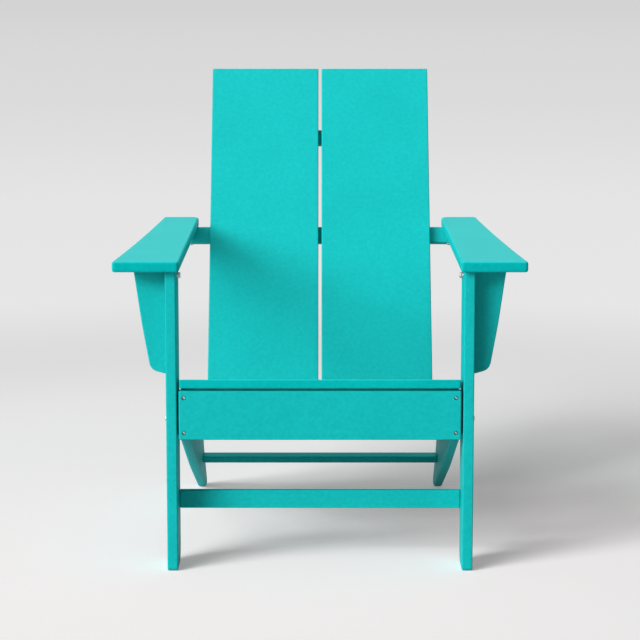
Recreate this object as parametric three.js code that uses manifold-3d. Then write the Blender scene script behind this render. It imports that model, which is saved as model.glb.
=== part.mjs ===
import * as THREE from 'three';
import { mergeVertices } from 'three/addons/utils/BufferGeometryUtils.js';
import Module from 'manifold-3d';

const wasm = await Module();
wasm.setup();

// A low garden chair of plastic lumber boards, held together with stainless screws and bolts.
// Millimetres. X runs to the right as seen from the front, Y to the rear, Z up from the floor.
// Until the last lines Y = 0 is the front faces of the front legs.

// Whole chair
const railSpan = 508;
const armHeight = 562;
const backHeight = 857.7;
const apronTop = 328.5;
const footReach = 677;
const seatSlope = THREE.MathUtils.degToRad(12);
const backLean = THREE.MathUtils.degToRad(28.5);

// Boards
const boardThickness = 19;
const boardEdge = 2.4;
const boardCorner = 2.8;
const touchGap = 0.3;

// Front legs
const legWidth = 89;
const legToeRound = 7;
const legHeelRound = 28;

// Arms, measured from their inner edges and front ends
const armThickness = 19;
const armEdge = 4;
const armOverhang = 20;
const armLip = 7.3;
const armTail = 8.8;
const armFrontWidth = 118.2;
const armWaistWidth = 92;
const armWaistBack = 300;
const armRearWidth = 71.3;
const armFrontRound = 6;
const armRearRound = 16;
const armRearOuterRound = 7;

// Brackets under the arms, outside the legs
const bracketSetback = 35;
const bracketHeight = 190;
const bracketRise = 8;
const bracketTopWidth = 57.5;
const bracketFootWidth = 28.8;
const bracketBellyWidth = 43.4;
const bracketBellyDrop = 100;
const bracketBellyRound = 900;
const bracketRound = 18;

// Apron
const apronHeight = 88.5;
const apronReveal = 3.2;
const apronClearance = 0.5;

// Side rails, each one board from the apron to the rear foot
const railEdge = 6;
const railNoseRise = 1;
const railNoseLength = 21;
const railBellyAhead = 309.2;
const railBellyRise = 110;
const railBellyRound = 3000;
const railTail = 12;
const railCorner = 10;
const tailRun = 111.2;
const tailRise = 107;
const tailBendRound = 400;
const footLength = 20;
const footRound = 7.5;
const heelLean = 3.8;
const heelRise = 18.2;
const heelRound = 20;

// Stretchers
const frontStretcherHeight = 33.3;
const frontStretcherThickness = 13;
const frontStretcherRise = 100.8;
const frontStretcherSetback = 64;
const rearStretcherDepth = 41;
const rearStretcherThickness = 13;
const rearStretcherAhead = 162.2;
const rearStretcherRise = 27.8;

// Seat
const seatSlatCount = 5;
const seatSlatThickness = 16;
const seatSlatWidth = 89;
const seatSlatGap = 8;
const seatSlatReveal = 4.5;
const seatNose = 2;

// Back
const backSlatWidth = 219.3;
const backSlatGap = 6.4;
const seatBackGap = 7;
const backDrop = 77;
const braceWidth = 32.4;
const braceThickness = 13;
const upperBraceDrop = 131;
const upperBraceInset = 20;
const armBraceLength = 602;
const lowerBraceWidth = 56;
const lowerBraceDrop = 18;

// Fastener places
const apronScrewFromEnd = 9.1;
const apronScrewFromEdge = 12.6;
const legBoltAboveApron = 34.6;
const legBoltSpacing = 38;
const bracketBoltDrop = 12.9;
const bracketScrewRise = 45;
const backScrewSpacing = 150;
const armScrewFromEnd = 14;
const armScrewSpacing = 26;
const stretcherScrewSpacing = 14;

// Fasteners
const tipCover = 4;
const endGrainBite = 26;
const armScrewBite = 13;
const panScrew = { head: 'pan', headWidth: 7.8, headHeight: 2.6, shank: 4.2 };
const sunkScrew = { head: 'pan', headWidth: 7.2, headHeight: 2.6, shank: 4.2, sink: 4.1 };
const flushScrew = { head: 'flush', headWidth: 8.2, headHeight: 3.4, shank: 4.2 };
const legBolt = { head: 'hex', headWidth: 8, headHeight: 2.6, shank: 5 };
const bracketBolt = { head: 'hex', headWidth: 10, headHeight: 6, shank: 6 };
const dowel = { head: 'none', shank: 8, length: 36 };
const dowelDepthInArm = 12;
const dowelFromFront = 22;
const boreOverrun = 2;

// A fastener's length under its head, from the boards that it holds
const throughFaces = 2 * boardThickness - tipCover;
const throughThinBrace = boardThickness + braceThickness - tipCover;
const intoEndGrain = boardThickness + endGrainBite;
const intoArm = braceWidth + armScrewBite;

// Facets
const roundTurn = THREE.MathUtils.degToRad(22.5);
const edgeSteps = 3;
const armCurveSteps = 10;
const weldDistance = 1e-4;
const fastenerSides = 10;
const domeSteps = 3;

const lumber = { color: 0x16b8b6, roughness: 0.5, metalness: 0, flatShading: true };
const stainless = { color: 0xb9bdc1, roughness: 0.35, metalness: 1, flatShading: true };

// Directions
const toRight = new THREE.Vector3(1, 0, 0);
const toRear = new THREE.Vector3(0, 1, 0);
const upward = new THREE.Vector3(0, 0, 1);
const toFront = toRear.clone().negate();
const downward = upward.clone().negate();
const outwards = (side) => toRight.clone().multiplyScalar(side);

// How a board's outline is turned from its own XY plane
const lying = new THREE.Matrix4();
const facingFront = new THREE.Matrix4().makeBasis(toRight, upward, toFront);
const facingSide = new THREE.Matrix4().makeBasis(toRear, upward, toRight);

// Left and right as seen from the front
const sides = [
  ['left', -1],
  ['right', 1],
];

// Closed geometry with shared corners and no collapsed triangles
function closed(geometry) {
  geometry.deleteAttribute('normal');
  geometry.deleteAttribute('uv');
  const merged = mergeVertices(geometry, weldDistance);
  const kept = [];
  for (let i = 0; i < merged.index.count; i += 3) {
    const [a, b, c] = [0, 1, 2].map((k) => merged.index.getX(i + k));
    if (a !== b && b !== c && c !== a) kept.push(a, b, c);
  }
  merged.setIndex(kept);
  return merged;
}

function solidOf(geometry) {
  const vertProperties = new Float32Array(geometry.attributes.position.array);
  const triVerts = new Uint32Array(geometry.index.array);
  return new wasm.Manifold(new wasm.Mesh({ numProp: 3, vertProperties, triVerts }));
}

function geometryOf(solid) {
  const { vertProperties, triVerts } = solid.getMesh();
  const geometry = new THREE.BufferGeometry();
  geometry.setAttribute('position', new THREE.BufferAttribute(vertProperties, 3));
  geometry.setIndex(new THREE.BufferAttribute(triVerts, 1));
  geometry.computeVertexNormals();
  return geometry;
}

// Outline through corners [x, y, radius]. Each radius is limited to what its two edges can hold.
function outline(corners) {
  const points = corners.map(([x, y]) => new THREE.Vector2(x, y));
  const traced = points.flatMap((here, i) => {
    const radius = corners[i][2] ?? 0;
    const before = points.at(i - 1).clone().sub(here);
    const after = points[(i + 1) % points.length].clone().sub(here);
    const room = Math.min(before.length(), after.length()) / 2;
    const half = Math.acos(before.normalize().dot(after.normalize())) / 2;
    const reach = Math.min(radius / Math.tan(half), room);
    if (reach <= 0) return [here];
    const actual = reach * Math.tan(half);
    const middle = before.clone().add(after).normalize().multiplyScalar(actual / Math.sin(half)).add(here);
    const start = before.clone().multiplyScalar(reach).add(here).sub(middle).angle();
    const turnsLeft = before.cross(after) < 0;
    const sweep = (Math.PI - 2 * half) * (turnsLeft ? 1 : -1);
    const steps = Math.max(2, Math.ceil(Math.abs(sweep) / roundTurn));
    const arc = new THREE.EllipseCurve(middle.x, middle.y, actual, actual, start, start + sweep, !turnsLeft);
    return arc.getPoints(steps);
  });
  return new THREE.Shape(traced);
}

const rectangle = (x0, x1, y0, y1, radius = boardCorner) =>
  outline([[x0, y0, radius], [x1, y0, radius], [x1, y1, radius], [x0, y1, radius]]);

// Board cut to an outline in XY and rising along Z, with its edges rounded over
function boardGeometry(shape, thickness, edge) {
  const geometry = new THREE.ExtrudeGeometry(shape, {
    depth: thickness - 2 * edge,
    bevelEnabled: true,
    bevelThickness: edge,
    bevelSize: edge,
    bevelOffset: -edge,
    bevelSegments: edgeSteps,
  });
  geometry.translate(0, 0, edge);
  return closed(geometry);
}

const chair = new THREE.Group();
const boards = {};

function addBoard(name, shape, { turn = lying, at, parent = chair, thickness = boardThickness, edge = boardEdge }) {
  const geometry = boardGeometry(shape, thickness, edge);
  const mesh = new THREE.Mesh(geometry, new THREE.MeshStandardMaterial(lumber));
  mesh.name = name;
  mesh.quaternion.setFromRotationMatrix(turn);
  mesh.position.set(...at);
  parent.add(mesh);
  boards[name] = mesh;
}

// Fastener pointing down Z, its head above the surface or sunk flush with it
function fastenerGeometry({ head, headWidth, headHeight, shank, length }) {
  const profile = [[0, -length], [shank / 2, -length]];
  if (head === 'flush') profile.push([shank / 2, -headHeight], [headWidth / 2, 0], [0, 0]);
  if (head === 'none') profile.push([shank / 2, 0], [0, 0]);
  if (head === 'hex') profile.push([shank / 2, headHeight / 2], [0, headHeight / 2]);
  if (head === 'pan') {
    profile.push([shank / 2, 0]);
    for (let i = 0; i <= domeSteps; i += 1) {
      const turn = (i / domeSteps) * (Math.PI / 2);
      profile.push([(headWidth / 2) * Math.cos(turn), headHeight * Math.sin(turn)]);
    }
  }
  const turned = revolve(profile);
  if (head !== 'hex') return turned;
  const acrossCorners = headWidth / Math.cos(Math.PI / 6);
  const cap = new THREE.CylinderGeometry(acrossCorners / 2, acrossCorners / 2, headHeight, 6);
  cap.rotateX(Math.PI / 2);
  cap.translate(0, 0, headHeight / 2);
  return geometryOf(solidOf(turned).add(solidOf(closed(cap))));
}

// Hole that a fastener fills, open above the surface. A sunk head sits in a wider pit.
function boreGeometry({ head, headWidth, headHeight, shank, length, sink = 0 }) {
  const wall = shank / 2 + touchGap;
  const profile = [[0, -length - touchGap], [wall, -length - touchGap]];
  if (head === 'flush') {
    const mouth = headWidth / 2 + touchGap;
    profile.push([wall, -headHeight], [mouth, 0], [mouth, boreOverrun], [0, boreOverrun]);
  } else if (head === 'none') {
    profile.push([wall, touchGap], [0, touchGap]);
  } else if (sink > 0) {
    const mouth = headWidth / 2 + touchGap;
    profile.push([wall, 0], [mouth, 0], [mouth, sink + boreOverrun], [0, sink + boreOverrun]);
  } else {
    profile.push([wall, boreOverrun], [0, boreOverrun]);
  }
  return revolve(profile);
}

// Body of revolution about Z from a profile of [radius, height] that starts and ends on the axis
function revolve(profile) {
  const points = profile.map(([radius, height]) => new THREE.Vector2(radius, height));
  const geometry = new THREE.LatheGeometry(points, fastenerSides);
  geometry.rotateX(Math.PI / 2);
  return closed(geometry);
}

const fasteners = [];

// Fastener whose head sits at a point and faces outward, holding the named boards
function fasten(name, kind, at, outward, held, parent = chair) {
  const mesh = new THREE.Mesh(fastenerGeometry(kind), new THREE.MeshStandardMaterial(stainless));
  const lift = kind.head === 'flush' || kind.head === 'none' ? 0 : touchGap;
  mesh.name = name;
  mesh.quaternion.setFromUnitVectors(upward, outward);
  mesh.position.set(...at).addScaledVector(outward, lift);
  parent.add(mesh);
  fasteners.push({ mesh, kind, lift, held });
}

// Bores of all fasteners, cut in each board that they hold
function drillBoards() {
  chair.updateMatrixWorld(true);
  for (const { mesh, kind, lift, held } of fasteners) {
    for (const name of held) {
      const board = boards[name];
      const bore = boreGeometry(kind).translate(0, 0, -lift);
      bore.applyMatrix4(board.matrixWorld.clone().invert().multiply(mesh.matrixWorld));
      board.geometry = geometryOf(solidOf(board.geometry).subtract(solidOf(bore)));
    }
  }
}

// Lines that several pieces share
const railOuter = railSpan / 2;
const railInner = railOuter - boardThickness;
const legInner = railOuter + touchGap;
const legOuter = legInner + boardThickness;
const legHeight = armHeight - armThickness - touchGap;
const legMiddle = legWidth / 2;
const apronBottom = apronTop - apronHeight;
const apronHalf = railOuter - apronReveal;
const seatDepth = seatSlatCount * (seatSlatWidth + seatSlatGap) - seatSlatGap;
const seatUnderside = (y) => apronTop + apronClearance + (boardThickness - y) * Math.tan(seatSlope);
const seatFront = { y: -seatNose, z: seatUnderside(-seatNose) };
const seatRear = {
  y: seatFront.y + seatDepth * Math.cos(seatSlope),
  z: seatFront.z - seatDepth * Math.sin(seatSlope),
};

function makeLegs() {
  const shape = outline([
    [0, 0, legToeRound],
    [legWidth, 0, legHeelRound],
    [legWidth, legHeight, boardCorner],
    [0, legHeight, boardCorner],
  ]);
  for (const [side, sign] of sides) {
    const x = sign > 0 ? legInner : -legOuter;
    addBoard(`front_leg_${side}`, shape, { turn: facingSide, at: [x, 0, 0] });
  }
}

// Rails: nose behind the apron, top under the seat, and a tail that ends in the rear foot
const railNose = { y: boardThickness + touchGap, z: apronBottom + railNoseRise };
const railKnee = { y: railNose.y + railNoseLength, z: railNose.z };
const railTop = (y) => seatUnderside(y) - touchGap / Math.cos(seatSlope);
const railBottomBehindBelly = (y) => (railBellyRise * (footReach - y)) / railBellyAhead;

function makeRails() {
  const rearCorner = seatRear.y + railTail;
  const footEnd = footReach + footLength;
  const heel = footEnd - heelLean;
  const round = railEdge + touchGap;
  const shape = outline([
    [railNose.y, railNose.z, round],
    [railKnee.y, railKnee.z],
    [footReach - railBellyAhead, railBellyRise, railBellyRound],
    [footReach, 0, round],
    [footEnd, 0, footRound],
    [heel, heelRise, heelRound],
    [heel - tailRun, tailRise, tailBendRound],
    [rearCorner, railTop(rearCorner), railCorner],
    [railNose.y, railTop(railNose.y), round],
  ]);
  for (const [side, sign] of sides) {
    const x = sign > 0 ? railInner : -railOuter;
    addBoard(`side_rail_${side}`, shape, { turn: facingSide, at: [x, 0, 0], edge: railEdge });
  }
}

function makeApron() {
  const shape = rectangle(-apronHalf, apronHalf, apronBottom, apronTop);
  addBoard('front_apron', shape, { turn: facingFront, at: [0, boardThickness, 0] });
}

const stretcherHalf = legInner - touchGap;
const frontStretcherMiddle = frontStretcherRise + frontStretcherHeight / 2;
const rearStretcherHalf = railInner - touchGap;
const rearStretcherFront = footReach - rearStretcherAhead;
const rearStretcherBottom = railBottomBehindBelly(rearStretcherFront) + rearStretcherRise;

function makeStretchers() {
  const top = frontStretcherRise + frontStretcherHeight;
  const front = rectangle(-stretcherHalf, stretcherHalf, frontStretcherRise, top, boardEdge + touchGap);
  addBoard('front_stretcher', front, {
    turn: facingFront,
    at: [0, frontStretcherSetback + frontStretcherThickness, 0],
    thickness: frontStretcherThickness,
  });
  const rear = rectangle(-rearStretcherHalf, rearStretcherHalf, 0, rearStretcherDepth, boardEdge + touchGap);
  addBoard('rear_stretcher', rear, {
    at: [0, rearStretcherFront, rearStretcherBottom],
    thickness: rearStretcherThickness,
  });
}

// Seat: slats side by side on the rails, in a group that slopes down to the rear
function makeSeat() {
  const seat = new THREE.Group();
  seat.position.set(0, seatFront.y, seatFront.z);
  seat.rotation.x = -seatSlope;
  chair.add(seat);
  const half = railOuter - seatSlatReveal;
  const shape = rectangle(-half, half, 0, seatSlatWidth);
  for (let i = 0; i < seatSlatCount; i += 1) {
    addBoard(`seat_slat_${i + 1}`, shape, {
      parent: seat,
      at: [0, i * (seatSlatWidth + seatSlatGap), 0],
      thickness: seatSlatThickness,
    });
  }
}

// Back: a group that leans to the rear. Its Y runs up the slats and Z = 0 is their front face.
const back = new THREE.Group();
const backFoot = { y: seatRear.y + seatBackGap, z: seatRear.z };
const upTheBack = (z) => (z - backFoot.z) / Math.cos(backLean);
const slatTop = upTheBack(backHeight);
const slatRearFace = -boardThickness;
const braceFront = slatRearFace - touchGap;
const braceRear = braceFront - braceThickness;
const lowerBraceRear = braceFront - boardThickness;
const levelDrop = (depth) => -depth * Math.tan(backLean);
const armBraceTop = upTheBack(legHeight) + levelDrop(braceFront);
const armBraceHeel = upTheBack(legHeight) + levelDrop(braceRear);
const upperBraceTop = slatTop - upperBraceDrop;
const upperBraceHalf = backSlatGap / 2 + backSlatWidth - upperBraceInset;
const slatHalf = backSlatGap / 2 + backSlatWidth / 2;

function makeBack() {
  back.position.set(0, backFoot.y, backFoot.z);
  back.rotation.x = Math.PI / 2 - backLean;
  chair.add(back);
  const slat = rectangle(-backSlatWidth / 2, backSlatWidth / 2, -backDrop, slatTop);
  for (const [side, sign] of sides) {
    addBoard(`back_slat_${side}`, slat, { parent: back, at: [sign * slatHalf, 0, slatRearFace] });
  }
  const upper = rectangle(-upperBraceHalf, upperBraceHalf, upperBraceTop - braceWidth, upperBraceTop);
  addBoard('back_brace_upper', upper, { parent: back, at: [0, 0, braceRear], thickness: braceThickness });
  const lowerHalf = railInner - touchGap;
  const lowerTop = -lowerBraceDrop;
  const lower = rectangle(-lowerHalf, lowerHalf, lowerTop - lowerBraceWidth, lowerTop, boardEdge + touchGap);
  addBoard('back_brace_lower', lower, { parent: back, at: [0, 0, lowerBraceRear] });
}

// Brace under the arms: its top edge is cut level, so its section is drawn and run along X
function makeArmBrace() {
  const foot = armBraceTop - braceWidth;
  const round = boardEdge + touchGap;
  const section = outline([
    [foot, braceFront, round],
    [foot, braceRear, round],
    [armBraceHeel, braceRear, round],
    [armBraceTop, braceFront, round],
  ]);
  addBoard('back_brace_arm', section, {
    parent: back,
    turn: facingSide,
    at: [-armBraceLength / 2, 0, 0],
    thickness: armBraceLength,
  });
}

// Arms: straight inner edge, and an outer edge that narrows in one curve to the rear
const armInner = legInner - armLip;
const armBraceRearEdge = backFoot.y + armBraceHeel * Math.sin(backLean) - braceRear * Math.cos(backLean);
const armLength = armOverhang + armBraceRearEdge + armTail;

function makeArms() {
  const outerEdge = new THREE.QuadraticBezierCurve(
    new THREE.Vector2(armFrontWidth, 0),
    new THREE.Vector2(armWaistWidth, armWaistBack),
    new THREE.Vector2(armRearWidth, armLength),
  );
  const curve = outerEdge.getPoints(armCurveSteps).slice(1, -1);
  for (const [side, sign] of sides) {
    const corners = [
      [0, 0, armFrontRound],
      [armFrontWidth, 0, armFrontRound],
      ...curve.map(({ x, y }) => [x, y, 0]),
      [armRearWidth, armLength, armRearOuterRound],
      [0, armLength, armRearRound],
    ];
    const shape = outline(corners.map(([x, y, radius]) => [sign * x, y, radius]));
    addBoard(`arm_${side}`, shape, {
      at: [sign * armInner, -armOverhang, armHeight - armThickness],
      thickness: armThickness,
      edge: armEdge,
    });
  }
}

const bracketMiddle = bracketSetback + boardThickness / 2;

function makeBrackets() {
  for (const [side, sign] of sides) {
    const corners = [
      [0, 0, boardCorner],
      [0, -bracketHeight, boardCorner],
      [bracketFootWidth, bracketRise - bracketHeight, bracketRound],
      [bracketBellyWidth, -bracketBellyDrop, bracketBellyRound],
      [bracketTopWidth, 0, boardCorner],
    ];
    const shape = outline(corners.map(([x, y, radius]) => [sign * x, y, radius]));
    addBoard(`arm_bracket_${side}`, shape, {
      turn: facingFront,
      at: [sign * (legOuter + touchGap), bracketSetback + boardThickness, legHeight],
    });
  }
}

function fastenApron() {
  const screw = { ...sunkScrew, length: intoEndGrain - sunkScrew.sink };
  const levels = [
    ['upper', apronTop - apronScrewFromEdge],
    ['lower', apronBottom + apronScrewFromEdge],
  ];
  for (const [side, sign] of sides) {
    for (const [level, z] of levels) {
      const at = [sign * (apronHalf - apronScrewFromEnd), sunkScrew.sink, z];
      fasten(`apron_screw_${side}_${level}`, screw, at, toFront, ['front_apron', `side_rail_${side}`]);
    }
  }
}

function fastenLegs() {
  const bolt = { ...legBolt, length: throughFaces };
  const places = [
    ['front', legMiddle - legBoltSpacing / 2],
    ['rear', legMiddle + legBoltSpacing / 2],
  ];
  for (const [side, sign] of sides) {
    for (const [place, y] of places) {
      const at = [sign * legOuter, y, apronBottom + legBoltAboveApron];
      fasten(`leg_bolt_${side}_${place}`, bolt, at, outwards(sign), [`front_leg_${side}`, `side_rail_${side}`]);
    }
  }
}

function fastenBrackets() {
  for (const [side, sign] of sides) {
    const held = [`front_leg_${side}`, `arm_bracket_${side}`];
    const inward = outwards(-sign);
    const boltAt = [sign * legInner, bracketMiddle, legHeight - bracketBoltDrop];
    const screwAt = [sign * legInner, bracketMiddle, legHeight - bracketHeight + bracketScrewRise];
    fasten(`bracket_bolt_${side}`, { ...bracketBolt, length: intoEndGrain }, boltAt, inward, held);
    fasten(`bracket_screw_${side}`, { ...flushScrew, length: intoEndGrain }, screwAt, inward, held);
  }
}

function fastenArms() {
  const screw = { ...panScrew, length: intoArm };
  const dowelTop = armHeight - armThickness + dowelDepthInArm;
  for (const [side, sign] of sides) {
    const dowelAt = [sign * (legInner + boardThickness / 2), dowelFromFront, dowelTop];
    fasten(`arm_dowel_${side}`, dowel, dowelAt, upward, [`arm_${side}`, `front_leg_${side}`]);
    for (const [place, inset] of [['outer', 0], ['inner', armScrewSpacing]]) {
      const x = sign * (armBraceLength / 2 - armScrewFromEnd - inset);
      const at = [x, armBraceTop - braceWidth, (braceFront + braceRear) / 2];
      fasten(`arm_screw_${side}_${place}`, screw, at, toFront, ['back_brace_arm', `arm_${side}`], back);
    }
  }
}

function fastenBack() {
  const rows = [
    ['upper', upperBraceTop - braceWidth / 2, braceRear, throughThinBrace],
    ['arm', armBraceTop - braceWidth / 2, braceRear, throughThinBrace],
    ['lower', -lowerBraceDrop - lowerBraceWidth / 2, lowerBraceRear, throughFaces],
  ];
  for (const [row, y, rearFace, length] of rows) {
    const screw = { ...panScrew, length };
    for (const [side, sign] of sides) {
      for (const [place, offset] of [['inner', -backScrewSpacing / 2], ['outer', backScrewSpacing / 2]]) {
        const at = [sign * (slatHalf + offset), y, rearFace];
        const held = [`back_brace_${row}`, `back_slat_${side}`];
        fasten(`back_screw_${row}_${side}_${place}`, screw, at, downward, held, back);
      }
    }
  }
}

function fastenCrossPieces() {
  const screw = { ...flushScrew, length: intoEndGrain };
  const spread = [
    ['upper', stretcherScrewSpacing / 2],
    ['lower', -stretcherScrewSpacing / 2],
  ];
  for (const [side, sign] of sides) {
    const outward = outwards(sign);
    for (const [level, offset] of spread) {
      const at = [
        sign * legOuter,
        frontStretcherSetback + frontStretcherThickness / 2,
        frontStretcherMiddle + offset,
      ];
      const held = [`front_leg_${side}`, 'front_stretcher'];
      fasten(`front_stretcher_screw_${side}_${level}`, screw, at, outward, held);
    }
    const rearAt = [
      sign * railOuter,
      rearStretcherFront + rearStretcherDepth / 2,
      rearStretcherBottom + rearStretcherThickness / 2,
    ];
    fasten(`rear_stretcher_screw_${side}`, screw, rearAt, outward, [`side_rail_${side}`, 'rear_stretcher']);
    const braceMiddle = (braceFront + lowerBraceRear) / 2;
    const braceAt = [sign * railOuter, -lowerBraceDrop - lowerBraceWidth / 2, braceMiddle];
    const braceHeld = [`side_rail_${side}`, 'back_brace_lower'];
    fasten(`lower_brace_screw_${side}`, screw, braceAt, outward, braceHeld, back);
  }
}

makeLegs();
makeRails();
makeApron();
makeStretchers();
makeSeat();
makeBack();
makeArmBrace();
makeArms();
makeBrackets();
fastenApron();
fastenLegs();
fastenBrackets();
fastenArms();
fastenBack();
fastenCrossPieces();
drillBoards();

// Origin on the floor, in the middle of the chair's width and depth
const extent = new THREE.Box3().setFromObject(chair, true);
chair.position.y = -(extent.min.y + extent.max.y) / 2;
chair.updateMatrixWorld(true);

export default chair;
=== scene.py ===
import math

import bmesh
import bpy
from mathutils import Matrix, Vector


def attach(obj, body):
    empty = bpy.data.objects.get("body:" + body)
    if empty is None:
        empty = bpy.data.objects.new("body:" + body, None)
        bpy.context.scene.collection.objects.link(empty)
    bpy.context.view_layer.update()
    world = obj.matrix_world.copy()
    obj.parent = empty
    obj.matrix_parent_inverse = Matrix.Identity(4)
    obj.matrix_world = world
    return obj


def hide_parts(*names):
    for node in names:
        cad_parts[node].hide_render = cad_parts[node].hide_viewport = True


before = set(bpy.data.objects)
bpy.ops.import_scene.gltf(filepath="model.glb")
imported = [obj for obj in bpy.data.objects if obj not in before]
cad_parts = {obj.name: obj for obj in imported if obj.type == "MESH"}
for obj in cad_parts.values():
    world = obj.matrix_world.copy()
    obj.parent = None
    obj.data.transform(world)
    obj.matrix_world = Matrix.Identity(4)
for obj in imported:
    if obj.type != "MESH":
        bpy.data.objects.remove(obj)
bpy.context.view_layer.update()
scene = bpy.context.scene
scene.view_settings.view_transform = "Standard"

MM = 0.001
RIGHT = Vector((1, 0, 0))
LEFT = -RIGHT
FRONT = Vector((0, -1, 0))
UP = Vector((0, 0, 1))

BOARDS = [
    "front_leg_left", "front_leg_right", "side_rail_left", "side_rail_right",
    "front_apron", "front_stretcher", "rear_stretcher",
    "back_slat_left", "back_slat_right", "back_brace_upper", "back_brace_lower", "back_brace_arm",
    "arm_left", "arm_right", "arm_bracket_left", "arm_bracket_right",
]
SEAT_SLATS = [f"seat_slat_{i}" for i in range(1, 6)]


# Camera

CAMERA_LENS = 132.53
CAMERA_CLIP_END = 400
CAMERA_PLACE = (0, -4.5054, 1.1005)
CAMERA_TILT_DOWN = 8.928


def make_camera():
    """Long lens in front of the chair, a little above it and looking slightly down."""
    data = bpy.data.cameras.new("camera")
    data.lens = CAMERA_LENS
    data.clip_end = CAMERA_CLIP_END
    camera = bpy.data.objects.new("camera", data)
    camera.location = CAMERA_PLACE
    camera.rotation_euler = (math.radians(90 - CAMERA_TILT_DOWN), 0, 0)
    scene.collection.objects.link(camera)
    scene.camera = camera


# Finishes

class Value:
    """A shader socket that can be used in plain arithmetic."""

    def __init__(self, finish, socket):
        self.finish = finish
        self.socket = socket

    def _math(self, operation, first, second):
        return self.finish.node("ShaderNodeMath", {"operation": operation}, {0: first, 1: second})

    def __add__(self, other):
        return self._math("ADD", self, other)

    def __sub__(self, other):
        return self._math("SUBTRACT", self, other)

    def __rsub__(self, other):
        return self._math("SUBTRACT", other, self)

    def __mul__(self, other):
        return self._math("MULTIPLY", self, other)

    __radd__ = __add__
    __rmul__ = __mul__


class Finish:
    """A material or world under construction."""

    def __init__(self, owner):
        owner.use_nodes = True
        self.owner = owner
        self.tree = owner.node_tree
        self.tree.nodes.clear()

    def node(self, kind, settings=None, sockets=None, output=0):
        made = self.tree.nodes.new(kind)
        for name, setting in (settings or {}).items():
            setattr(made, name, setting)
        for name, given in (sockets or {}).items():
            if isinstance(given, Value):
                self.tree.links.new(given.socket, made.inputs[name])
            else:
                made.inputs[name].default_value = given
        return Value(self, made.outputs[output])

    def ramp(self, factor, stops):
        made = self.tree.nodes.new("ShaderNodeValToRGB")
        elements = made.color_ramp.elements
        while len(elements) < len(stops):
            elements.new(1)
        for element, (place, colour) in zip(elements, stops):
            element.position = place
            element.color = (*colour, 1)
        self.tree.links.new(factor.socket, made.inputs[0])
        return Value(self, made.outputs[0])

    def surface(self, shader):
        kind = "World" if isinstance(self.owner, bpy.types.World) else "Material"
        made = self.tree.nodes.new(f"ShaderNodeOutput{kind}")
        self.tree.links.new(shader.socket, made.inputs["Surface"])


def new_finish(name):
    return Finish(bpy.data.materials.new(name))


# Place on the tone ramp, share of the finish's red, then green and blue
TEAL_TONES = [(0.18, 0.6, 0.405, 0.400), (0.50, 1.0, 0.462, 0.455), (0.82, 1.6, 0.520, 0.512)]
# Noises from broad to fine: scale, detail and roughness
CLOUD = (9, 2, 0.5)
MOTTLE = (150, 3, 0.6)
GRAIN = (620, 2, 0.5)
PEBBLES = {"Scale": 700.0, "Smoothness": 0.6}
CLOUD_TONE = 0.35
MOTTLE_TONE = 0.9
GRAIN_TONE = 0.35
PEBBLE_RELIEF = 0.55
GRAIN_RELIEF = 0.3
MOTTLE_RELIEF = 0.35
SKIN_DEPTH = 0.6 * MM
SKIN_STRENGTH = 0.22
LUMBER_ROUGHNESS = 0.55
MOTTLE_ROUGHNESS = 0.25


def plastic_lumber(name, red, depth, gloss):
    """Solid-coloured teal board with a fine leathery skin. Depth scales its green and blue."""
    finish = new_finish(name)
    place = finish.node("ShaderNodeTexCoord", output="Object")

    def noise(scale, detail, roughness):
        sockets = {"Vector": place, "Scale": scale, "Detail": detail, "Roughness": roughness}
        return finish.node("ShaderNodeTexNoise", {}, sockets)

    cloud = noise(*CLOUD)
    mottle = noise(*MOTTLE)
    grain = noise(*GRAIN)
    pebble = finish.node(
        "ShaderNodeTexVoronoi", {"feature": "SMOOTH_F1"}, {"Vector": place, **PEBBLES}
    )
    cloudy = (cloud - 0.5) * CLOUD_TONE
    mottled = (mottle - 0.5) * MOTTLE_TONE
    grainy = (grain - 0.5) * GRAIN_TONE
    tone = 0.5 + cloudy + mottled + grainy
    colour = finish.ramp(tone, [
        (stop, (share * red, green * depth, blue * depth))
        for stop, share, green, blue in TEAL_TONES
    ])
    skin = pebble * PEBBLE_RELIEF + grain * GRAIN_RELIEF + mottle * MOTTLE_RELIEF
    bump = finish.node("ShaderNodeBump", {}, {
        "Strength": SKIN_STRENGTH, "Distance": SKIN_DEPTH, "Height": skin,
    })
    shader = finish.node("ShaderNodeBsdfPrincipled", {}, {
        "Base Color": colour,
        "Roughness": LUMBER_ROUGHNESS + (mottle - 0.5) * MOTTLE_ROUGHNESS,
        "Specular IOR Level": gloss,
        "Normal": bump,
    })
    finish.surface(shader)
    return finish.owner


STEEL_TONES = [(0.3, (0.40, 0.41, 0.42)), (0.7, (0.52, 0.53, 0.54))]
STEEL_GRAIN = {"Scale": 2400.0, "Detail": 2.0}
STEEL_BUMP = {"Strength": 0.1, "Distance": 0.1 * MM}
STEEL_ROUGHNESS = 0.38
STEEL_GRAIN_ROUGHNESS = 0.2


def stainless_steel():
    """Plain stainless fastener, satin, with a fine uneven grain."""
    finish = new_finish("stainless_steel")
    place = finish.node("ShaderNodeTexCoord", output="Object")
    grain = finish.node("ShaderNodeTexNoise", {}, {"Vector": place, **STEEL_GRAIN})
    colour = finish.ramp(grain, STEEL_TONES)
    bump = finish.node("ShaderNodeBump", {}, {"Height": grain, **STEEL_BUMP})
    shader = finish.node("ShaderNodeBsdfPrincipled", {}, {
        "Base Color": colour,
        "Metallic": 1.0,
        "Roughness": STEEL_ROUGHNESS + (grain - 0.5) * STEEL_GRAIN_ROUGHNESS,
        "Normal": bump,
    })
    finish.surface(shader)
    return finish.owner


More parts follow.
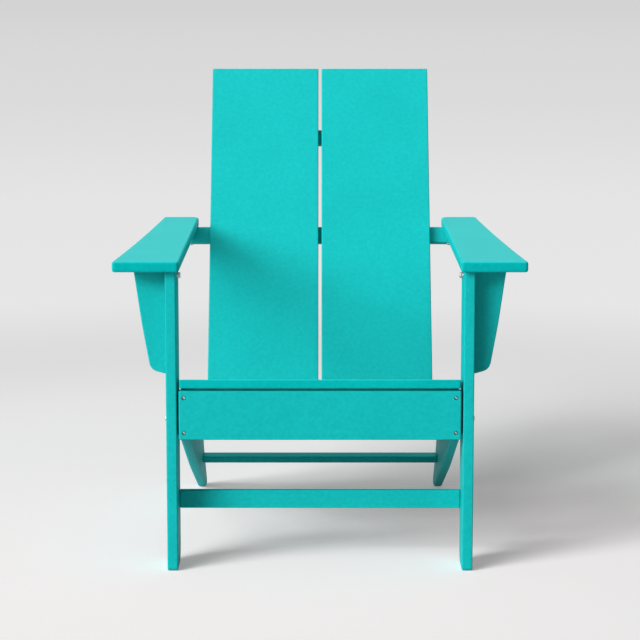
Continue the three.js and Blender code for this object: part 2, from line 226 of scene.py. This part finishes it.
lumber = plastic_lumber("plastic_lumber", red=0.0026, depth=1.0, gloss=0.11)
# A darker copy with less sheen, for painted shade on some sides
shade_painted_lumber = plastic_lumber("shade_painted_lumber", red=0.0008, depth=0.9, gloss=0.02)
# A lighter copy with less sheen, for painted light on the side rails' undersides
light_painted_lumber = plastic_lumber("light_painted_lumber", red=0.0026, depth=1.04, gloss=0.03)
steel = stainless_steel()

# Sides of some boards, with the way each faces and its copy of the lumber, which has less sheen
# and a painted tone: painted shade, darker, on the fronts of the arms and seat slats and on the
# rear stretcher's top, and painted light, lighter, on the side rails' undersides
PAINTED_SHADING_SIDES = {node: (FRONT, shade_painted_lumber) for node in ["arm_left", "arm_right", *SEAT_SLATS]}
PAINTED_SHADING_SIDES["rear_stretcher"] = (UP, shade_painted_lumber)
PAINTED_SHADING_SIDES["side_rail_left"] = PAINTED_SHADING_SIDES["side_rail_right"] = (-UP, light_painted_lumber)


# Boards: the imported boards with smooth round-overs

# Points this near are merged, and faces that meet this flat are joined
MERGE_REACH = 0.005 * MM
FLAT_WITHIN = math.radians(0.1)
BOARD_SMOOTH_ANGLE = math.radians(38)
PAINTED_SHADING_FACING = 0.8


def piece_from(mesh, name, material):
    piece = bpy.data.objects.new(name, mesh)
    mesh.materials.clear()
    mesh.materials.append(material)
    scene.collection.objects.link(piece)
    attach(piece, "root")
    return piece


def merged_copy(node):
    """Copy of a packed board's mesh with its triangles joined into whole flat faces."""
    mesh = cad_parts[node].data.copy()
    made = bmesh.new()
    made.from_mesh(mesh)
    bmesh.ops.remove_doubles(made, verts=made.verts, dist=MERGE_REACH)
    bmesh.ops.dissolve_limit(made, angle_limit=FLAT_WITHIN, verts=made.verts, edges=made.edges)
    made.to_mesh(mesh)
    made.free()
    return mesh


def smooth_faces(piece):
    piece.data.shade_smooth()
    piece.data.set_sharp_from_angle(angle=BOARD_SMOOTH_ANGLE)
    weighted = piece.modifiers.new("even_faces", "WEIGHTED_NORMAL")
    weighted.weight = 100
    weighted.keep_sharp = True


def make_board(node):
    piece = piece_from(merged_copy(node), f"{node}_board", lumber)
    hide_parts(node)
    # Sides facing the listed way get the listed copy of the lumber, with its painted shading
    if node in PAINTED_SHADING_SIDES:
        side, finish = PAINTED_SHADING_SIDES[node]
        piece.data.materials.append(finish)
        for face in piece.data.polygons:
            face.material_index = int(face.normal.dot(side) > PAINTED_SHADING_FACING)
    smooth_faces(piece)


# Fasteners

TURN_STEPS = 36
TURN_MERGE_REACH = 0.001 * MM
STAR_LOBES = 6
STAR_DEPTH = 0.16
STAR_LIP = 0.3 * MM
DRIVE_SHARE = 0.2
METAL_SMOOTH_ANGLE = math.radians(30)


def turned(profile):
    """bmesh of a profile of (radius, height) points spun about Z."""
    made = bmesh.new()
    verts = [made.verts.new((radius, 0, height)) for radius, height in profile]
    edges = [made.edges.new(pair) for pair in zip(verts, verts[1:])]
    bmesh.ops.spin(
        made, geom=verts + edges, cent=(0, 0, 0), axis=UP,
        angle=math.tau, steps=TURN_STEPS, use_merge=True,
    )
    bmesh.ops.remove_doubles(made, verts=made.verts, dist=TURN_MERGE_REACH)
    bmesh.ops.recalc_face_normals(made, faces=made.faces)
    return made


def star_recess(made, radius):
    """Draws the round recess of a turned head into a six-lobed drive."""
    for vert in made.verts:
        reach = Vector(vert.co[:2]).length
        if vert.co.z > STAR_LIP - radius and 0.5 * radius < reach < 1.01 * radius:
            turn = math.atan2(vert.co.y, vert.co.x)
            vert.co.xy *= 1 - STAR_DEPTH * (0.5 - 0.5 * math.cos(STAR_LOBES * turn))


# The profiles below run from the middle of the head outwards and then down the shank.

def pan_head(length, width, height, shank):
    """Screw with a low domed head that stands on the surface."""
    drive = DRIVE_SHARE * width
    half = width / 2
    rim = 0.32 * height
    dome = [
        (half * math.cos(turn), rim + (height - rim) * math.sin(turn))
        for turn in [math.radians(degrees) for degrees in (54, 40, 26, 12)]
    ]
    profile = [
        (0, 0.45 * height),
        (0.86 * drive, 0.45 * height),
        (drive, 0.55 * height),
        (drive, 0.93 * height),
        (1.1 * drive, height),
        *dome,
        (half, rim),
        (half, 0.08 * height),
        (0.97 * half, 0),
        (shank / 2, 0),
        (shank / 2, 0.8 * shank - length),
        (0, -length),
    ]
    made = turned(profile)
    star_recess(made, drive)
    return made


def flush_head(length, width, height, shank):
    """Countersunk screw whose head is level with the surface."""
    drive = DRIVE_SHARE * width
    half = width / 2
    profile = [
        (0, -0.3 * height),
        (0.86 * drive, -0.3 * height),
        (drive, -0.22 * height),
        (drive, -0.02 * height),
        (1.08 * drive, 0),
        (0.95 * half, 0),
        (half, -0.05 * height),
        (shank / 2, -height),
        (shank / 2, 0.8 * shank - length),
        (0, -length),
    ]
    made = turned(profile)
    star_recess(made, drive)
    return made


def hex_head(length, width, height, shank):
    """Bolt with a chamfered six-sided head on a thin round collar. Width is across its flats."""
    washer = 0.18 * height
    corner = width / 2 / math.cos(math.pi / 6)
    made = bmesh.new()
    bmesh.ops.create_cone(
        made, cap_ends=True, segments=6, depth=height - washer, radius1=corner, radius2=corner,
        matrix=Matrix.Translation((0, 0, (height + washer) / 2)),
    )
    top = height - 0.01 * MM
    rims = [e for e in made.edges if min(v.co.z for v in e.verts) > top]
    bmesh.ops.bevel(
        made, geom=rims, offset=0.1 * width, affect="EDGES",
        segments=2, profile=0.5, material=-1,
    )
    stem = turned([
        (0, washer),
        (0.52 * width, washer),
        (0.54 * width, 0.6 * washer),
        (0.54 * width, 0),
        (shank / 2, 0),
        (shank / 2, 0.1 * shank - length),
        (0.4 * shank, -length),
        (0, -length),
    ])
    mesh = bpy.data.meshes.new("stem")
    stem.to_mesh(mesh)
    stem.free()
    made.from_mesh(mesh)
    bpy.data.meshes.remove(mesh)
    return made


def pin(length, shank):
    """Plain round pin with chamfered ends."""
    chamfer = 0.1 * shank
    return turned([
        (0, 0),
        (shank / 2 - chamfer, 0),
        (shank / 2, -chamfer),
        (shank / 2, chamfer - length),
        (shank / 2 - chamfer, -length),
        (0, -length),
    ])


def facing(outward, seat):
    """Matrix that stands a fastener on a point, its head outward."""
    return Matrix.Translation(seat) @ UP.rotation_difference(outward).to_matrix().to_4x4()


def finish_fastener(made, name, place):
    """Steel piece of a bmesh, stood in its place."""
    bmesh.ops.transform(made, matrix=place, verts=made.verts)
    mesh = bpy.data.meshes.new(name)
    made.to_mesh(mesh)
    made.free()
    piece = piece_from(mesh, name, steel)
    piece.data.shade_smooth()
    piece.data.set_sharp_from_angle(angle=METAL_SMOOTH_ANGLE)
    return piece


def seat_of(node, outward, head):
    """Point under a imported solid's head or outer face, and the length behind that point."""
    points = [v.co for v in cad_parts[node].data.vertices]
    middle = sum(points, Vector()) / len(points)
    reaches = [(p - middle).dot(outward) for p in points]
    seat = max(reaches) - head
    return middle + outward * seat, seat - min(reaches)


BACK_LEAN = math.radians(28.5)
DOWN_BACK = Vector((0, -math.sin(BACK_LEAN), -math.cos(BACK_LEAN)))
BEHIND_BACK = Vector((0, math.cos(BACK_LEAN), -math.sin(BACK_LEAN)))


def outward_of(node):
    """Way that a fastener's head faces."""
    if node.startswith("apron_screw"):
        return FRONT
    if node.startswith("back_screw"):
        return BEHIND_BACK
    if node.startswith("arm_screw"):
        return DOWN_BACK
    if node.startswith("arm_dowel"):
        return UP
    out = LEFT if "left" in node else RIGHT
    return -out if node.startswith("bracket") else out


PAN = {"width": 7.8 * MM, "height": 2.6 * MM, "shank": 4.2 * MM}
SUNK = {"width": 7.2 * MM, "height": 2.6 * MM, "shank": 4.2 * MM}
FLUSH = {"width": 8.2 * MM, "height": 3.4 * MM, "shank": 4.2 * MM}
LEG_BOLT = {"width": 8 * MM, "height": 2.6 * MM, "shank": 5 * MM}
BRACKET_BOLT = {"width": 10 * MM, "height": 6 * MM, "shank": 6 * MM}
DOWEL_WIDTH = 8 * MM


def make_fastener(node):
    outward = outward_of(node)
    if node.startswith("arm_dowel"):
        seat, length = seat_of(node, outward, 0)
        made = pin(length, DOWEL_WIDTH)
    elif "bolt" in node:
        bolt = LEG_BOLT if node.startswith("leg") else BRACKET_BOLT
        seat, length = seat_of(node, outward, bolt["height"])
        made = hex_head(length, **bolt)
    elif node.startswith(("apron", "back_screw", "arm_screw")):
        screw = SUNK if node.startswith("apron") else PAN
        seat, length = seat_of(node, outward, screw["height"])
        made = pan_head(length, **screw)
    else:
        seat, length = seat_of(node, outward, 0)
        made = flush_head(length, **FLUSH)
    piece = finish_fastener(made, f"{node}_piece", facing(outward, seat))
    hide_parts(node)


SEAT_SLOPE = math.radians(12)
SEAT_NORMAL = Vector((0, math.sin(SEAT_SLOPE), math.cos(SEAT_SLOPE)))
SEAT_REARWARD = Vector((0, math.cos(SEAT_SLOPE), -math.sin(SEAT_SLOPE)))
SLAT_SCREW_LENGTH = 35 * MM
SLAT_SCREW_ASIDE = 241.7 * MM
SLAT_SCREW_PROUD = 0.05 * MM
SLAT_SCREWS_BACK = (-22 * MM, 22 * MM)
FIRST_SLAT_SCREWS_BACK = (8 * MM, 30 * MM)


def make_slat_screws(node):
    """Four countersunk screws that hold a seat slat down on the side rails."""
    middle = seat_of(node, SEAT_NORMAL, 0)[0] + SEAT_NORMAL * SLAT_SCREW_PROUD
    offsets = FIRST_SLAT_SCREWS_BACK if node == SEAT_SLATS[0] else SLAT_SCREWS_BACK
    for side, outward in (("left", LEFT), ("right", RIGHT)):
        for end, offset in zip(("front", "rear"), offsets):
            seat = middle + SEAT_REARWARD * offset + outward * SLAT_SCREW_ASIDE
            made = flush_head(SLAT_SCREW_LENGTH, **FLUSH)
            finish_fastener(made, f"{node}_screw_{side}_{end}", facing(SEAT_NORMAL, seat))


# Stage

# Grey of the backdrop at distances in metres from the chair's middle. These greys are painted
# shade of the studio: darker in a band at about 1.6 to 2 m, and darker again far off
BACKDROP_GREYS = [
    (0.8, 0.81), (1.2, 0.765), (1.57, 0.71), (1.8, 0.70), (2.1, 0.715), (2.35, 0.738),
    (2.9, 0.792), (5.9, 0.783), (9.0, 0.74), (13.0, 0.708), (40.0, 0.652),
]
BACKDROP_REACH = BACKDROP_GREYS[-1][0]
FLOOR_RADIUS = 150
# The lit floor passes into the backdrop between these distances
FLOOR_UNTIL = 0.9
BACKDROP_FROM = 2.3
# Grey of the lit floor for the light it throws back on the chair, and where it is seen
FLOOR_GREY_FOR_LIGHT = 0.80
FLOOR_GREY_SEEN = 0.94
# Light added to the floor where it is seen. Its red falls off with the distance in metres from
# a point beside the chair, to even out the tint that the teal boards throw on the floor there.
FLOOR_LIFT = 0.205
WARM_PLACE = (-0.12, -0.3, 0)
WARM_REDS = [(0.0, 0.270), (0.4, 0.262), (0.8, 0.228), (1.0, 0.210)]
ROOM_LIGHT = 0.152
ROOM_GREY = 0.64


def grey(level):
    return (level, level, level)


def shown_rays(finish):
    """1 for rays by which the camera sees a surface, directly, mirrored or through glass."""
    path = finish.node("ShaderNodeLightPath").socket.node.outputs
    kinds = ("Camera", "Glossy", "Transmission")
    seen, mirrored, clear = [Value(finish, path[f"Is {kind} Ray"]) for kind in kinds]
    return seen + mirrored + clear


def make_floor():
    """Pale floor, lit by the lamps near the chair, and a glowing backdrop far off whose set greys
    are painted shade.
    """
    finish = new_finish("studio_floor")
    place = finish.node("ShaderNodeTexCoord", output="Object")
    reach = finish.node(
        "ShaderNodeVectorMath", {"operation": "LENGTH"}, {0: place}, output="Value"
    )
    tone = finish.ramp(reach * (1 / BACKDROP_REACH), [
        (metres / BACKDROP_REACH, grey(level)) for metres, level in BACKDROP_GREYS
    ])
    shown = shown_rays(finish)
    far = finish.node("ShaderNodeMapRange", {"interpolation_type": "SMOOTHSTEP"}, {
        "Value": reach, "From Min": FLOOR_UNTIL, "From Max": BACKDROP_FROM,
        "To Min": 0.0, "To Max": 1.0,
    })
    paper = finish.ramp(shown, [
        (0.0, grey(FLOOR_GREY_FOR_LIGHT)), (1.0, grey(FLOOR_GREY_SEEN)),
    ])
    lit = finish.node("ShaderNodeBsdfDiffuse", {}, {"Color": paper})
    beside = finish.node(
        "ShaderNodeVectorMath", {"operation": "DISTANCE"}, {0: place, 1: WARM_PLACE},
        output="Value",
    )
    warmth = finish.ramp(beside, [
        (metres, (red, FLOOR_LIFT, FLOOR_LIFT)) for metres, red in WARM_REDS
    ])
    lift = finish.node("ShaderNodeEmission", {}, {"Color": warmth, "Strength": 1.0})
    lifted = finish.node("ShaderNodeAddShader", {}, {0: lit, 1: lift})
    near = finish.node("ShaderNodeMixShader", {}, {0: shown, 1: lit, 2: lifted})
    glow = finish.node("ShaderNodeEmission", {}, {"Color": tone, "Strength": 1.0})
    both = finish.node("ShaderNodeMixShader", {}, {0: far * shown, 1: near, 2: glow})
    finish.surface(both)
    made = bmesh.new()
    bmesh.ops.create_circle(made, cap_ends=True, segments=96, radius=FLOOR_RADIUS)
    mesh = bpy.data.meshes.new("floor")
    made.to_mesh(mesh)
    made.free()
    mesh.materials.append(finish.owner)
    floor = bpy.data.objects.new("floor", mesh)
    scene.collection.objects.link(floor)
    return floor


def make_world():
    world = bpy.data.worlds.new("studio")
    scene.world = world
    finish = Finish(world)
    shown = shown_rays(finish)
    dim = finish.node("ShaderNodeBackground", {}, {
        "Color": (*grey(1), 1), "Strength": ROOM_LIGHT,
    })
    pale = finish.node("ShaderNodeBackground", {}, {
        "Color": (*grey(ROOM_GREY), 1), "Strength": 1.0,
    })
    both = finish.node("ShaderNodeMixShader", {}, {0: shown, 1: dim, 2: pale})
    finish.surface(both)


def all_but(thing):
    """Light receivers that leave out one object."""
    receivers = bpy.data.collections.new(f"all_but_{thing.name}")
    receivers.objects.link(thing)
    receivers.collection_objects[0].light_linking.link_state = "EXCLUDE"
    return receivers


AIM = Vector((0, 0, 0.4))

# Azimuth from the front towards the left, elevation, distance, width, and the brightness of
# a white card that faces the lamp
KEY_LAMPS = {
    "key_inner": (30, 30, 40, 7.3, 0.121),
    "key_middle": (40, 22, 40, 7.3, 0.223),
    "key_low": (50, 14, 40, 7.3, 0.252),
    "key_upper": (50, 30, 40, 7.3, 0.194),
    "key_outer": (60, 22, 40, 7.3, 0.289),
    "key_high": (46, 48, 12, 4, 0.102),
}
FILL_LAMPS = {
    "top": (0, 90, 9, 7, 0.364),
    "top_back": (180, 55, 9, 5, 0.375),
}


def make_softbox(name, azimuth, elevation, distance, width, brightness, receivers=None):
    """Square lamp aimed at the chair's middle."""
    a, e = math.radians(azimuth), math.radians(elevation)
    toward = Vector((-math.sin(a) * math.cos(e), -math.cos(a) * math.cos(e), math.sin(e)))
    data = bpy.data.lights.new(name, "AREA")
    data.shape = "SQUARE"
    data.size = width
    data.energy = brightness * math.pi ** 2 * distance ** 2
    lamp = bpy.data.objects.new(name, data)
    lamp.visible_camera = False
    lamp.light_linking.receiver_collection = receivers
    lamp.location = AIM + toward * distance
    lamp.rotation_euler = toward.to_track_quat("Z", "Y").to_euler()
    scene.collection.objects.link(lamp)


make_camera()
for node in BOARDS + SEAT_SLATS:
    make_board(node)
for node in sorted(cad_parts):
    if node not in BOARDS + SEAT_SLATS:
        make_fastener(node)
for node in SEAT_SLATS:
    make_slat_screws(node)
chair_only = all_but(make_floor())
make_world()
for name, lamp in KEY_LAMPS.items():
    make_softbox(name, *lamp)
for name, lamp in FILL_LAMPS.items():
    make_softbox(name, *lamp, receivers=chair_only)
